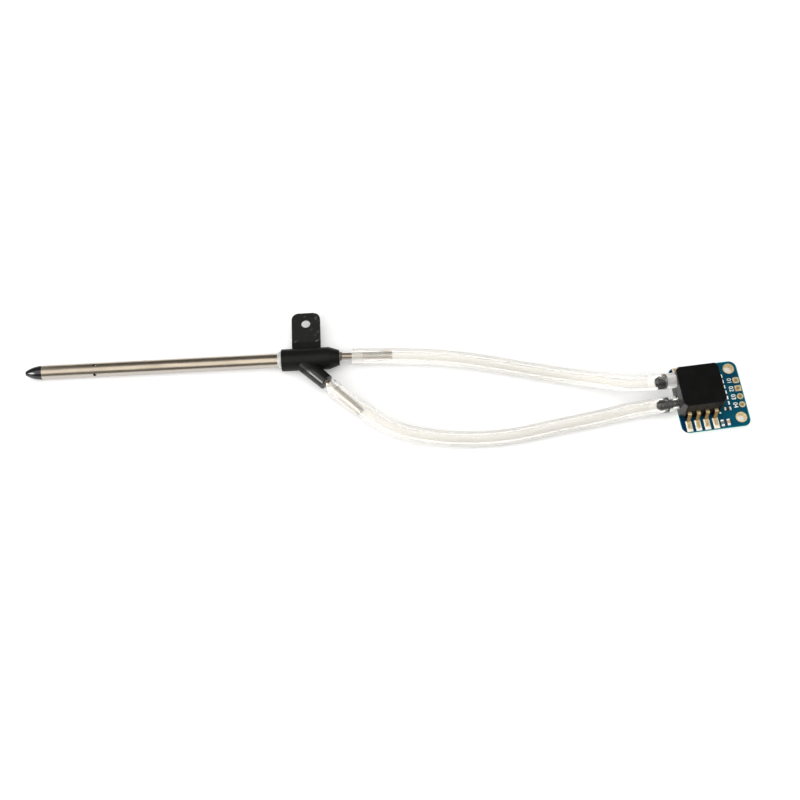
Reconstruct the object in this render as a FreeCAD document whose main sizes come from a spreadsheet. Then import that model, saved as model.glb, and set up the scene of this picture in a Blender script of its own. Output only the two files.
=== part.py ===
"""Pitot-static probe with its two silicone hoses and differential pressure sensor board.

The probe lies along X with its nose at -X, the sensor board lies flat at +X, and both rest on
the plane Z = 0.  All lengths are millimetres and all angles are degrees.

The probe pieces are drawn about the probe axis (local X, with X = 0 on the front face of the
manifold) and the board pieces about the first mounting hole (local Z, with Z = 0 on the
underside).  One placement then puts each group where it lies.
"""
import FreeCAD, Part
import math
import os
import Sketcher
from FreeCAD import Placement, Rotation, Vector

SIZES = [
    # probe: tubes and nose
    ("tube_diameter", 4.0, "static tube, outside"),
    ("tube_wall", 0.4, "static tube wall"),
    ("exposed_length", 67.7, "static tube ahead of the manifold"),
    ("tube_seat", 5.5, "static tube inside the manifold"),
    ("nose_length", 4.7, "nose cone ahead of the tube"),
    ("ogive_radius", 8.55, "arc of the nose profile"),
    ("nose_orifice", 0.8, "total pressure orifice"),
    ("orifice_length", 2.2, "orifice depth, up to the inner tube"),
    ("nose_spigot", 3.0, "spigot of the nose inside the tube"),
    ("tip_round", 0.12, "rounding of the nose rim"),
    ("inner_diameter", 2.0, "total pressure tube, outside"),
    ("inner_bore", 1.4, "total pressure tube, inside"),
    ("inner_reach", 31.4, "total pressure tube behind the manifold face"),
    ("bend_start", 8.0, "where the total pressure tube leaves the axis"),
    ("bend_end", 14.0, "where it turns back"),
    ("bend_offset", 0.5, "how far it stands off the axis there"),
    ("bend_return", 2.47, "angle at which it comes back towards the axis"),
    ("bend_radius", 28.0, "radius of both bends"),
    ("hole_diameter", 0.95, "static hole"),
    ("hole_station", 52.7, "static holes ahead of the manifold"),
    ("hole_clock", 19.0, "first static hole, turned from the top"),
    # manifold
    ("barrel_diameter", 6.3, "manifold barrel"),
    ("barrel_length", 13.6, "straight part of the barrel"),
    ("taper_length", 2.85, "rear taper of the barrel"),
    ("taper_diameter", 4.3, "small end of the taper"),
    ("chamber_length", 6.7, "static chamber behind the tube seat"),
    ("rear_clearance", 0.25, "gap round the total pressure tube where it leaves"),
    ("branch_station", 4.9, "where the branch axis meets the probe axis"),
    ("branch_angle", 45.0, "branch axis to probe axis"),
    ("branch_diameter", 4.9, "branch boss, at the probe axis"),
    ("branch_draft", 1.2, "draft of the branch boss"),
    ("branch_length", 10.8, "branch boss, from the probe axis"),
    ("nipple_root", 6.2, "inner end of the static nipple, from the probe axis"),
    ("nipple_reach", 24.4, "outer end of the static nipple, from the probe axis"),
    ("nipple_diameter", 2.0, "static nipple, outside"),
    ("nipple_bore", 1.4, "static nipple, inside"),
    ("flag_station", 3.05, "near edge of the mounting flag"),
    ("flag_width", 8.2, "mounting flag"),
    ("flag_reach", 14.85, "outer edge of the flag, from the probe axis"),
    ("flag_thickness", 0.6, "mounting flag"),
    ("flag_corner", 2.1, "outer corners of the flag"),
    ("flag_rim", 0.15, "rounded rim of the flag"),
    ("flag_hole", 2.6, "mounting hole"),
    ("flag_hole_station", 7.13, "mounting hole along the probe"),
    ("flag_hole_reach", 11.34, "mounting hole, from the probe axis"),
    ("barrel_round", 0.35, "rounded front rim of the barrel"),
    # sealant beads
    ("front_bead_length", 1.1, "bead on the static tube"),
    ("front_bead_height", 0.55, "bead on the static tube"),
    ("rear_bead_length", 0.75, "bead on the total pressure tube"),
    ("rear_bead_height", 0.35, "bead on the total pressure tube"),
    ("branch_bead_length", 0.6, "bead on the static nipple"),
    ("branch_bead_height", 0.4, "bead on the static nipple"),
    ("bead_step", 0.08, "rear bead behind the tapered end, which its tilted face clears"),
    # hoses
    ("hose_diameter", 4.4, "silicone hose, outside"),
    ("hose_fit", 0.05, "gap between a hose and what it is pushed on to"),
    # circuit board
    ("board_length", 19.7, "board along the header side to the port side"),
    ("board_width", 20.45, "board across"),
    ("board_thickness", 1.6, "board"),
    ("board_corner", 2.2, "board corners"),
    ("hole_inset", 2.38, "mounting holes from the edges"),
    ("hole_pitch", 15.24, "between the mounting holes"),
    ("mount_bore", 2.5, "plated mounting hole"),
    ("mount_land", 3.2, "gold land round it"),
    ("plating", 0.15, "plated wall of the holes"),
    ("land_thickness", 0.05, "gold lands, flush with the board"),
    ("pitch", 2.54, "header and lead pitch"),
    ("header_bore", 1.0, "plated header hole"),
    ("header_land", 1.8, "gold land round a header hole"),
    ("header_inset", 1.2, "header row from the line of the mounting holes"),
    # pressure sensor
    ("sensor_side", 12.1, "square sensor package"),
    ("sensor_offset", 7.47, "package centre from the first mounting hole, across"),
    ("standoff", 0.1, "gap under the package"),
    ("housing_height", 3.6, "lower housing"),
    ("cap_height", 4.7, "cap"),
    ("cap_wall", 1.2, "cap and housing walls"),
    ("seam_depth", 0.35, "groove between housing and cap"),
    ("seam_height", 0.45, "groove between housing and cap"),
    ("cap_corner", 0.9, "chamfered upright corners of the cap"),
    ("housing_corner", 1.3, "chamfered upright corners of the housing"),
    ("package_edge", 0.12, "chamfered top edge"),
    ("port_bore", 1.2, "air passage of a port"),
    ("port_neck", 1.9, "neck of a port"),
    ("barb_diameter", 3.0, "barb of a port"),
    ("barb_length", 3.3, "barb of a port"),
    ("port_reach", 5.9, "port from the package side"),
    ("upper_port_offset", 3.4, "upper port from the package centre"),
    ("upper_port_height", 5.6, "upper port above the board"),
    ("lower_port_offset", 2.0, "lower port from the package centre"),
    ("lower_port_height", 1.9, "lower port above the board"),
    ("lead_width", 1.0, "gull-wing lead"),
    ("lead_thickness", 0.25, "gull-wing lead"),
    ("lead_height", 3.45, "underside of the lead shoulder above the board"),
    ("lead_root", 1.0, "lead inside the housing wall"),
    ("shoulder_length", 0.5, "lead shoulder outside the housing"),
    ("leg_run", 0.5, "outward run of the sloping leg"),
    ("foot_length", 2.4, "lead foot"),
    ("bend_inside", 0.15, "inside of a lead bend"),
    ("foot_height", 0.12, "solder under the foot"),
    ("solder_width", 1.65, "solder joint"),
    ("solder_heel", 0.1, "solder behind the bend of a foot"),
    ("solder_toe", 0.82, "solder beyond a foot, near side"),
    ("far_solder_toe", 0.3, "solder beyond a foot, far side, where the board ends"),
    ("solder_height", 0.32, "solder joint"),
    ("die_side", 3.0, "sensing die"),
    ("die_height", 0.5, "sensing die"),
    ("wafer_height", 0.9, "glass wafer under the die"),
    ("gel_diameter", 6.0, "protective gel"),
    ("gel_height", 0.6, "protective gel over the die"),
    # chip components
    ("chip_length", 1.85, "chip component"),
    ("chip_width", 0.8, "chip component"),
    ("chip_height", 0.5, "chip component"),
    ("terminal_length", 0.45, "metal end of a chip component"),
    # where the two groups lie
    ("probe_x", -28.97, "manifold front face"),
    ("probe_y", 6.282, "probe axis"),
    ("board_x", 97.55, "first mounting hole"),
    ("board_y", -1.758, "first mounting hole"),
    ("board_yaw", 5.2, "board turned from the probe axis"),
]

# Hose routes: points chosen along each hose, joined by straight runs and tangent arcs.
# The first two and the last two lie on the axes of the tube and of the port that it fits.
TOTAL_ROUTE = [
    (-8.973, 6.523, 3.481), (8.023, 5.790, 3.767), (24.030, 4.072, 2.750), (39.030, 0.622, 2.250),
    (50.530, -2.178, 2.550), (60.530, -5.178, 4.700), (69.715, -8.378, 7.200), (80.669, -7.381, 7.200),
]
STATIC_ROUTE = [
    (-15.375, -2.415, 3.373), (-2.156, -15.636, 3.596), (13.030, -19.928, 2.350), (31.030, -20.728, 2.200),
    (47.030, -17.728, 2.200), (61.030, -15.378, 2.350), (69.607, -13.810, 3.500), (81.157, -12.759, 3.500),
]

doc = FreeCAD.newDocument("PitotProbe")


# ---------------------------------------------------------------- sheet and sketch helpers

def make_sheet():
    """Spreadsheet of the driving dimensions, one aliased cell each."""
    sheet = doc.addObject("Spreadsheet::Sheet", "Sizes")
    for row, (alias, value, note) in enumerate(SIZES, start=1):
        sheet.set(f"A{row}", note)
        sheet.set(f"B{row}", str(value))
        sheet.setAlias(f"B{row}", alias)
    doc.recompute()
    return sheet


def size(alias):
    """Value of one driving dimension, read from the sheet."""
    return float(sheet.get(alias))


def evaluate(owner, text):
    """Number that an expression gives on this object."""
    value = owner.evalExpression(text)
    return float(getattr(value, "Value", value))


def new_body(label):
    body = doc.addObject("PartDesign::Body", label)
    body.Label = label
    return body


def new_sketch(body, name, role="XY_Plane", height=None):
    """Sketch on an origin plane of its own body, raised by an expression where one is given."""
    plane = next(item for item in body.Origin.OriginFeatures if item.Role == role)
    sketch = body.newObject("Sketcher::SketchObject", body.Label + "_" + name)
    sketch.AttachmentSupport = (plane, "")
    sketch.MapMode = "FlatFace"
    if height:
        sketch.setExpression("AttachmentOffset.Base.z", height)
    doc.recompute()
    return sketch


def pin_point(sketch, edge, end, x, y):
    """Tie one end of an edge to two expressions, or to an axis where one is zero."""
    for kind, text, axis in (("DistanceX", x, -2), ("DistanceY", y, -1)):
        if text == "0":
            sketch.addConstraint(Sketcher.Constraint("PointOnObject", edge, end, axis))
        else:
            value = evaluate(sketch, text)
            index = sketch.addConstraint(Sketcher.Constraint(kind, -1, 1, edge, end, value))
            sketch.setExpression(f"Constraints[{index}]", text)


def draw_outline(sketch, corners, arcs=None):
    """Closed outline through corners given as expressions.

    arcs maps the number of an edge to the expressions of its centre and radius.
    """
    arcs = arcs or {}
    points = [Vector(evaluate(sketch, x), evaluate(sketch, y), 0) for x, y in corners]
    first = sketch.GeometryCount
    count = len(points)
    ends = []
    for number, start in enumerate(points):
        stop = points[(number + 1) % count]
        if number in arcs:
            x, y, radius = arcs[number]
            centre = Vector(evaluate(sketch, x), evaluate(sketch, y), 0)
            middle = (start + stop) / 2 - centre
            middle = centre + middle.normalize() * (start - centre).Length
            sketch.addGeometry(Part.Arc(start, middle, stop))
            forward = sketch.getPoint(first + number, 1).isEqual(start, 1e-6)
            ends.append((1, 2) if forward else (2, 1))
        else:
            sketch.addGeometry(Part.LineSegment(start, stop))
            ends.append((1, 2))
    for number, (x, y) in enumerate(corners):
        after = (number + 1) % count
        sketch.addConstraint(Sketcher.Constraint(
            "Coincident", first + number, ends[number][1], first + after, ends[after][0]))
        pin_point(sketch, first + number, ends[number][0], x, y)
    for number, (x, y, radius) in arcs.items():
        index = sketch.addConstraint(Sketcher.Constraint(
            "Radius", first + number, evaluate(sketch, radius)))
        sketch.setExpression(f"Constraints[{index}]", radius)


def draw_circle(sketch, x, y, diameter):
    """Circle whose centre and diameter are expressions."""
    centre = Vector(evaluate(sketch, x), evaluate(sketch, y), 0)
    edge = sketch.addGeometry(Part.Circle(centre, Vector(0, 0, 1), evaluate(sketch, diameter) / 2))
    pin_point(sketch, edge, 3, x, y)
    index = sketch.addConstraint(Sketcher.Constraint("Diameter", edge, evaluate(sketch, diameter)))
    sketch.setExpression(f"Constraints[{index}]", diameter)


def feature(body, kind, sketch, **settings):
    """Sketch-based feature; settings that are text are bound as expressions."""
    item = body.newObject("PartDesign::" + kind, sketch.Label + "_" + kind.lower())
    item.Profile = sketch
    for name, value in settings.items():
        if isinstance(value, str):
            item.setExpression(name, value)
        else:
            setattr(item, name, value)
    sketch.Visibility = False
    doc.recompute()
    return item


def revolve(body, sketch, kind="Revolution", axis="H_Axis"):
    return feature(body, kind, sketch, ReferenceAxis=(sketch, [axis]), Angle="360")


def dress_edges(body, kind, chosen, amount):
    """Fillet or chamfer the edges of the tip that pass the test."""
    base = body.Tip
    names = [f"Edge{i}" for i, edge in enumerate(base.Shape.Edges, start=1) if chosen(edge)]
    if not names:
        raise RuntimeError("no edge found on " + body.Label)
    item = body.newObject("PartDesign::" + kind, body.Label + "_" + kind.lower())
    item.Base = (base, names)
    item.setExpression("Radius" if kind == "Fillet" else "Size", amount)
    doc.recompute()
    return item


def near(value, target):
    return abs(value - target) < 1e-4


def along_z(edge):
    """True for a straight edge parallel to Z."""
    if len(edge.Vertexes) != 2 or edge.Curve.TypeId != "Part::GeomLine":
        return False
    return abs(edge.tangentAt(edge.FirstParameter).z) > 0.999


def in_plane_z(edge, level):
    return near(edge.BoundBox.ZMin, level) and near(edge.BoundBox.ZMax, level)


# ---------------------------------------------------------------- where the groups lie

def probe_placement():
    """Probe axis, nose down until the nose and the manifold's front rim both touch Z = 0."""
    drop = (size("barrel_diameter") - size("tube_diameter")) / 2
    pitch = math.asin(drop / (size("exposed_length") + size("barrel_round")))
    ogive = size("ogive_radius")
    rise = (ogive + size("exposed_length") * math.sin(pitch)
            - (ogive - size("tube_diameter") / 2) * math.cos(pitch))
    turn = Rotation(Vector(0, 1, 0), -math.degrees(pitch))
    return Placement(Vector(size("probe_x"), size("probe_y"), rise), turn)


def branch_placement():
    """Branch axis as local X, from where it meets the probe axis."""
    turn = Rotation(Vector(0, 0, 1), -size("branch_angle"))
    return probe_placement() * Placement(Vector(size("branch_station"), 0, 0), turn)


def rear_tube_placement():
    """Rear run of the total pressure tube as local X, from the second bend."""
    turn = Rotation(Vector(0, 0, 1), -size("bend_return"))
    corner = Vector(size("bend_end"), size("bend_offset"), 0)
    return probe_placement() * Placement(corner, turn)


def board_placement(x=0.0, y=0.0, z=0.0, turn=0.0):
    """A place on the board, measured from the first mounting hole on the underside."""
    board = Placement(Vector(size("board_x"), size("board_y"), 0),
                      Rotation(Vector(0, 0, 1), size("board_yaw")))
    return board * Placement(Vector(x, y, z), Rotation(Vector(0, 0, 1), turn))


def package_centre():
    """Sensor centre on the board; its ported side is flush with the board's edge."""
    x = size("hole_inset") - size("board_length") + size("sensor_side") / 2
    return x, -size("sensor_offset")


def package_placement(x=0.0, y=0.0, z=0.0, turn=0.0):
    """A place on the sensor, measured from its centre on the board's top face."""
    centre = package_centre()
    return board_placement(centre[0], centre[1], size("board_thickness")) * Placement(
        Vector(x, y, z), Rotation(Vector(0, 0, 1), turn))


# ---------------------------------------------------------------- probe pieces

def make_nose_cone():
    """Ogive nose with the orifice, the seat of the inner tube and a spigot into the tube."""
    body = new_body("nose_cone")
    tip = "-(Sizes.exposed_length + Sizes.nose_length)"
    base = "-Sizes.exposed_length"
    spigot = "-(Sizes.exposed_length - Sizes.nose_spigot)"
    seat = "-(Sizes.exposed_length + Sizes.nose_length - Sizes.orifice_length)"
    rim = ("Sizes.tube_diameter / 2 - Sizes.ogive_radius"
           " + sqrt(Sizes.ogive_radius ^ 2 - Sizes.nose_length ^ 2)")
    sketch = new_sketch(body, "profile")
    draw_outline(
        sketch,
        [(tip, "Sizes.nose_orifice / 2"), (tip, rim), (base, "Sizes.tube_diameter / 2"),
         (base, "Sizes.tube_diameter / 2 - Sizes.tube_wall"),
         (spigot, "Sizes.tube_diameter / 2 - Sizes.tube_wall"),
         (spigot, "Sizes.inner_diameter / 2"), (seat, "Sizes.inner_diameter / 2"),
         (seat, "Sizes.nose_orifice / 2")],
        {1: (base, "Sizes.tube_diameter / 2 - Sizes.ogive_radius", "Sizes.ogive_radius")})
    revolve(body, sketch)
    front = evaluate(sketch, tip)
    width = 2 * evaluate(sketch, rim)
    dress_edges(body, "Fillet", lambda edge: near(edge.BoundBox.XMin, front)
                and near(edge.BoundBox.XMax, front) and edge.BoundBox.YLength > width * 0.9,
                "Sizes.tip_round")
    body.Placement = probe_placement()


def make_static_tube():
    """Thin tube with four static holes, two right through it a quarter turn apart."""
    body = new_body("static_tube")
    ring = new_sketch(body, "ring", "YZ_Plane", "-Sizes.exposed_length")
    draw_circle(ring, "0", "0", "Sizes.tube_diameter")
    draw_circle(ring, "0", "0", "Sizes.tube_diameter - 2 * Sizes.tube_wall")
    feature(body, "Pad", ring, Length="Sizes.exposed_length + Sizes.tube_seat")
    before = body.Shape.Volume
    hole = new_sketch(body, "static_hole")
    hole.AttachmentOffset = Placement(Vector(0, 0, 0), Rotation(Vector(-1, 0, 0), 1))
    hole.setExpression("AttachmentOffset.Rotation.Angle", "Sizes.hole_clock")
    draw_circle(hole, "-Sizes.hole_station", "0", "Sizes.hole_diameter")
    cut = feature(body, "Pocket", hole, Type=1, Midplane=True)
    quarter = body.newObject("PartDesign::PolarPattern", "static_hole_pattern")
    quarter.Originals = [cut]
    quarter.Axis = (next(item for item in body.Origin.OriginFeatures if item.Role == "X_Axis"), [""])
    quarter.Angle = 90
    quarter.Occurrences = 2
    body.Tip = quarter
    doc.recompute()
    check_cut(body, before)
    body.Placement = probe_placement()


def check_cut(body, before):
    if body.Shape.Volume > before - 1e-3:
        raise RuntimeError("a cut missed " + body.Label)


def bent_axis():
    """Axis of the total pressure tube in the probe frame: three runs and two bends."""
    back = math.tan(math.radians(size("bend_return")))
    seat = -(size("exposed_length") + size("nose_length") - size("orifice_length"))
    tail = size("inner_reach")
    return [Vector(seat, 0, 0), Vector(size("bend_start"), 0, 0),
            Vector(size("bend_end"), size("bend_offset"), 0),
            Vector(tail, size("bend_offset") - (tail - size("bend_end")) * back, 0)]


def make_total_pressure_tube():
    """Inner tube from the nose to the rear nipple, drawn as one pipe along its bent axis."""
    tube = doc.addObject("Part::Feature", "total_pressure_tube")
    tube.Label = "total_pressure_tube"
    path = rounded_path(bent_axis(), [size("bend_radius")] * 2)
    outside = pipe_along(path, size("inner_diameter") / 2)
    inside = pipe_along(path, size("inner_bore") / 2)
    tube.Shape = outside.cut(inside)
    tube.Placement = probe_placement()


def make_manifold():
    """Moulded Y-piece: barrel, tapered tail, angled branch, mounting flag and air passages."""
    body = new_body("manifold")
    barrel = new_sketch(body, "barrel")
    tail = "Sizes.barrel_length + Sizes.taper_length"
    draw_outline(barrel, [("0", "0"), ("0", "Sizes.barrel_diameter / 2"),
                          ("Sizes.barrel_length", "Sizes.barrel_diameter / 2"),
                          (tail, "Sizes.taper_diameter / 2"), (tail, "0")])
    revolve(body, barrel)
    round_barrel_rim(body)
    add_branch(body)
    add_flag(body)
    cut_passages(body)
    body.Placement = probe_placement()


def round_barrel_rim(body):
    radius = size("barrel_diameter") / 2
    dress_edges(body, "Fillet", lambda edge: near(edge.BoundBox.XMax, 0)
                and near(edge.BoundBox.YMax, radius) and edge.BoundBox.YLength > radius,
                "Sizes.barrel_round")


def branch_sketch(body, name, height):
    """Sketch across the branch axis, at a distance from the probe axis."""
    sketch = new_sketch(body, name, "YZ_Plane")
    sketch.AttachmentOffset = Placement(Vector(0, 0, 0), Rotation(Vector(0, -1, 0), 45))
    sketch.setExpression("AttachmentOffset.Rotation.Angle", "Sizes.branch_angle")
    sketch.setExpression("AttachmentOffset.Base.z",
                         f"Sizes.branch_station + ({height}) * cos(Sizes.branch_angle)")
    sketch.setExpression("AttachmentOffset.Base.x", f"-({height}) * sin(Sizes.branch_angle)")
    doc.recompute()
    return sketch


def add_branch(body):
    boss = branch_sketch(body, "branch", "0")
    draw_circle(boss, "0", "0", "Sizes.branch_diameter")
    feature(body, "Pad", boss, Length="Sizes.branch_length", TaperAngle="-Sizes.branch_draft")


def add_flag(body):
    """Flat mounting flag with rounded outer corners, a rounded rim and one hole."""
    outline = new_sketch(body, "flag")
    far = "Sizes.flag_station + Sizes.flag_width"
    draw_outline(outline, [
        ("Sizes.flag_station", "0"), (far, "0"),
        (far, "Sizes.flag_reach - Sizes.flag_corner"),
        (far + " - Sizes.flag_corner", "Sizes.flag_reach"),
        ("Sizes.flag_station + Sizes.flag_corner", "Sizes.flag_reach"),
        ("Sizes.flag_station", "Sizes.flag_reach - Sizes.flag_corner")],
        {2: (far + " - Sizes.flag_corner", "Sizes.flag_reach - Sizes.flag_corner",
             "Sizes.flag_corner"),
         4: ("Sizes.flag_station + Sizes.flag_corner", "Sizes.flag_reach - Sizes.flag_corner",
             "Sizes.flag_corner")})
    feature(body, "Pad", outline, Length="Sizes.flag_thickness", Midplane=True)
    clear = size("barrel_diameter") / 2
    half = size("flag_thickness") / 2
    dress_edges(body, "Fillet", lambda edge: edge.BoundBox.YMax > clear + 0.5
                and (in_plane_z(edge, half) or in_plane_z(edge, -half)), "Sizes.flag_rim")
    before = body.Shape.Volume
    hole = new_sketch(body, "flag_hole")
    draw_circle(hole, "Sizes.flag_hole_station", "Sizes.flag_hole_reach", "Sizes.flag_hole")
    feature(body, "Pocket", hole, Type=1, Midplane=True)
    check_cut(body, before)


def cut_passages(body):
    """Tube seat, static chamber, way out of the inner tube, and the branch passage."""
    before = body.Shape.Volume
    bore = new_sketch(body, "bore")
    seat = "Sizes.tube_seat"
    deep = "Sizes.tube_seat + Sizes.chamber_length"
    inside = "Sizes.tube_diameter / 2 - Sizes.tube_wall"
    draw_outline(bore, [("0", "0"), ("0", "Sizes.tube_diameter / 2"),
                        (seat, "Sizes.tube_diameter / 2"), (seat, inside),
                        (deep, inside), (deep, "0")])
    revolve(body, bore, "Groove")
    rear = new_sketch(body, "rear_bore", "YZ_Plane", "Sizes.tube_seat + Sizes.chamber_length - 0.5")
    draw_circle(rear, "Sizes.bend_offset - Sizes.rear_clearance / 2", "0",
                "Sizes.inner_diameter + 2 * Sizes.rear_clearance")
    feature(body, "Pocket", rear, Length="Sizes.barrel_length", Reversed=True)
    check_cut(body, before)
    before = body.Shape.Volume
    seat = branch_sketch(body, "nipple_seat", "Sizes.nipple_root")
    draw_circle(seat, "0", "0", "Sizes.nipple_diameter")
    feature(body, "Pocket", seat, Length="Sizes.branch_length", Reversed=True)
    check_cut(body, before)
    before = body.Shape.Volume
    link = branch_sketch(body, "branch_passage", "Sizes.nipple_root")
    draw_circle(link, "0", "0", "Sizes.nipple_bore")
    feature(body, "Pocket", link, Length="Sizes.nipple_root - Sizes.tube_diameter / 2 + Sizes.tube_wall")
    check_cut(body, before)


def make_static_nipple():
    """Short tube in the branch, reaching far enough out to take the hose."""
    body = new_body("static_nipple")
    ring = new_sketch(body, "ring", "YZ_Plane", "Sizes.nipple_root")
    draw_circle(ring, "0", "0", "Sizes.nipple_diameter")
    draw_circle(ring, "0", "0", "Sizes.nipple_bore")
    feature(body, "Pad", ring, Length="Sizes.nipple_reach - Sizes.nipple_root")
    body.Placement = branch_placement()


def make_bead(label, place, start, length, inner, height):
    """Ring of sealant in a corner between a tube and a face; length may point either way."""
    body = new_body(label)
    sketch = new_sketch(body, "profile")
    end = f"{start} + {length}"
    draw_outline(sketch, [(start, inner), (start, f"{inner} + {height}"),
                          (f"{start} + 0.45 * {length}", f"{inner} + 0.8 * {height}"),
                          (f"{start} + 0.85 * {length}", f"{inner} + 0.38 * {height}"),
                          (end, inner)])
    revolve(body, sketch)
    body.Placement = place


def make_beads():
    make_bead("front_sealant_bead", probe_placement(), "0", "(-Sizes.front_bead_length)",
              "Sizes.tube_diameter / 2", "Sizes.front_bead_height")
    rear = "(Sizes.barrel_length + Sizes.taper_length - Sizes.bend_end) / cos(Sizes.bend_return)"
    make_bead("rear_sealant_bead", rear_tube_placement(), f"{rear} + Sizes.bead_step",
              "Sizes.rear_bead_length", "Sizes.inner_diameter / 2", "Sizes.rear_bead_height")
    make_bead("branch_sealant_bead", branch_placement(), "Sizes.branch_length",
              "Sizes.branch_bead_length", "Sizes.nipple_diameter / 2", "Sizes.branch_bead_height")


# ---------------------------------------------------------------- hoses

def corner_radii(points):
    """Largest even arc at each corner: 0.45 of the shorter run over tan(half the turn)."""
    radii = []
    for before, here, after in zip(points, points[1:], points[2:]):
        turn = (here - before).getAngle(after - here)
        shorter = min((here - before).Length, (after - here).Length)
        radii.append(0.45 * shorter / math.tan(turn / 2))
    return radii


def rounded_path(points, radii):
    """Wire of straight runs joined by tangent arcs."""
    edges = []
    start = points[0]
    for before, here, after, radius in zip(points, points[1:], points[2:], radii):
        back = (before - here).normalize()
        ahead = (after - here).normalize()
        half = back.getAngle(ahead) / 2
        reach = radius / math.tan(half)
        inward = (back + ahead).normalize()
        centre = here + inward * (radius / math.sin(half))
        arc_start = here + back * reach
        arc_end = here + ahead * reach
        edges.append(Part.LineSegment(start, arc_start).toShape())
        edges.append(Part.Arc(arc_start, centre - inward * radius, arc_end).toShape())
        start = arc_end
    edges.append(Part.LineSegment(start, points[-1]).toShape())
    return Part.Wire(edges)


def pipe_along(path, radius):
    """Round solid swept along a path."""
    first = path.Edges[0]
    start = first.valueAt(first.FirstParameter)
    ring = Part.Wire(Part.Circle(start, first.tangentAt(first.FirstParameter), radius).toShape())
    pipe = Part.BRepOffsetAPI.MakePipeShell(path)
    pipe.add(ring)
    pipe.build()
    pipe.makeSolid()
    return pipe.shape()


def make_hose(label, route, port):
    """Hollow hose along its route, opened out over the port's barb at its last point."""
    points = [Vector(*place) for place in route]
    radii = corner_radii(points)
    path = rounded_path(points, radii)
    bore = size("inner_diameter") / 2 + size("hose_fit")
    solid = pipe_along(path, size("hose_diameter") / 2)
    print(label, "length", round(path.Length, 2), "radii", [round(r, 1) for r in radii],
          "volume ratio", round(solid.Volume / (math.pi * size("hose_diameter") ** 2 / 4 * path.Length), 4))
    solid = solid.cut(pipe_along(path, bore)).cut(port_socket(port))
    hose = doc.addObject("Part::Feature", label)
    hose.Label = label
    hose.Shape = solid


def port_socket(place):
    """Space that a barbed port takes inside its hose, with the fit all round."""
    fit = size("hose_fit")
    neck = size("port_neck") / 2 + fit
    barb = size("barb_diameter") / 2 + fit
    tip = size("port_reach") + fit
    root = size("port_reach") - size("barb_length") - fit
    outline = [(-1, 0), (-1, neck), (root, neck), (root, barb),
               (root + size("barb_length") * 0.75, barb), (tip, neck), (tip, 0)]
    face = Part.Face(Part.makePolygon([Vector(x, y, 0) for x, y in outline + outline[:1]]))
    socket = face.revolve(Vector(0, 0, 0), Vector(1, 0, 0), 360)
    socket.Placement = place
    return socket


def port_placement(offset, height):
    """Port axis as local X, pointing away from the package, from the package side."""
    return package_placement(-size("sensor_side") / 2, offset, height, 180.0)


def upper_port_placement():
    return port_placement(size("upper_port_offset"), size("upper_port_height"))


def lower_port_placement():
    return port_placement(-size("lower_port_offset"), size("lower_port_height"))


# ---------------------------------------------------------------- circuit board

def header_places():
    """Header holes, evenly spaced about the middle between the mounting holes."""
    return [("Sizes.header_inset", f"-(Sizes.hole_pitch / 2 + {step} * Sizes.pitch)")
            for step in (-1.5, -0.5, 0.5, 1.5)]


def mount_places():
    return [("0", "0"), ("0", "-Sizes.hole_pitch")]


def draw_rounded_rectangle(sketch, left, right, low, high, corner):
    """Rectangle between four expressions, with round corners."""
    draw_outline(sketch, [
        (f"{left} + {corner}", low), (f"{right} - {corner}", low),
        (right, f"{low} + {corner}"), (right, f"{high} - {corner}"),
        (f"{right} - {corner}", high), (f"{left} + {corner}", high),
        (left, f"{high} - {corner}"), (left, f"{low} + {corner}")],
        {1: (f"{right} - {corner}", f"{low} + {corner}", corner),
         3: (f"{right} - {corner}", f"{high} - {corner}", corner),
         5: (f"{left} + {corner}", f"{high} - {corner}", corner),
         7: (f"{left} + {corner}", f"{low} + {corner}", corner)})


def make_circuit_board():
    """Board with its drilled holes and the shallow seats of the gold lands on both faces."""
    body = new_body("circuit_board")
    outline = new_sketch(body, "outline")
    draw_rounded_rectangle(
        outline, "(Sizes.hole_inset - Sizes.board_length)", "Sizes.hole_inset",
        "(Sizes.hole_inset - Sizes.board_width)", "Sizes.hole_inset", "Sizes.board_corner")
    feature(body, "Pad", outline, Length="Sizes.board_thickness")
    before = body.Shape.Volume
    drill = new_sketch(body, "drill")
    for x, y in mount_places():
        draw_circle(drill, x, y, "Sizes.mount_bore + 2 * Sizes.plating")
    for x, y in header_places():
        draw_circle(drill, x, y, "Sizes.header_bore + 2 * Sizes.plating")
    feature(body, "Pocket", drill, Type=1, Midplane=True)
    check_cut(body, before)
    for face, height in (("under", "0"), ("top", "Sizes.board_thickness")):
        before = body.Shape.Volume
        lands = new_sketch(body, "lands_" + face, "XY_Plane", height)
        for x, y in mount_places():
            draw_circle(lands, x, y, "Sizes.mount_land")
        for number, (x, y) in enumerate(header_places()):
            draw_header_land(lands, number, x, y)
        feature(body, "Pocket", lands, Length="Sizes.land_thickness", Reversed=face == "under")
        check_cut(body, before)
    body.Placement = board_placement()


def draw_header_land(sketch, number, x, y):
    """The first two lands are square with round corners and the others are round."""
    half = "Sizes.header_land / 2"
    if number < 2:
        corner = "Sizes.header_land / 4" if number == 0 else "Sizes.header_land / 9"
        draw_rounded_rectangle(sketch, f"({x} - {half})", f"({x} + {half})",
                               f"({y} - {half})", f"({y} + {half})", f"({corner})")
    else:
        draw_circle(sketch, x, y, "Sizes.header_land")


def make_mounting_ring(number):
    """Plated mounting hole: a thin barrel with a land on each face."""
    body = new_body(f"mounting_ring_{number + 1}")
    x, y = mount_places()[number]
    draw_plated_hole(body, "Sizes.mount_bore", lambda sketch: draw_circle(
        sketch, "0", "0", "Sizes.mount_land"))
    body.Placement = board_placement(evaluate(sheet, x), evaluate(sheet, y))


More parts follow.
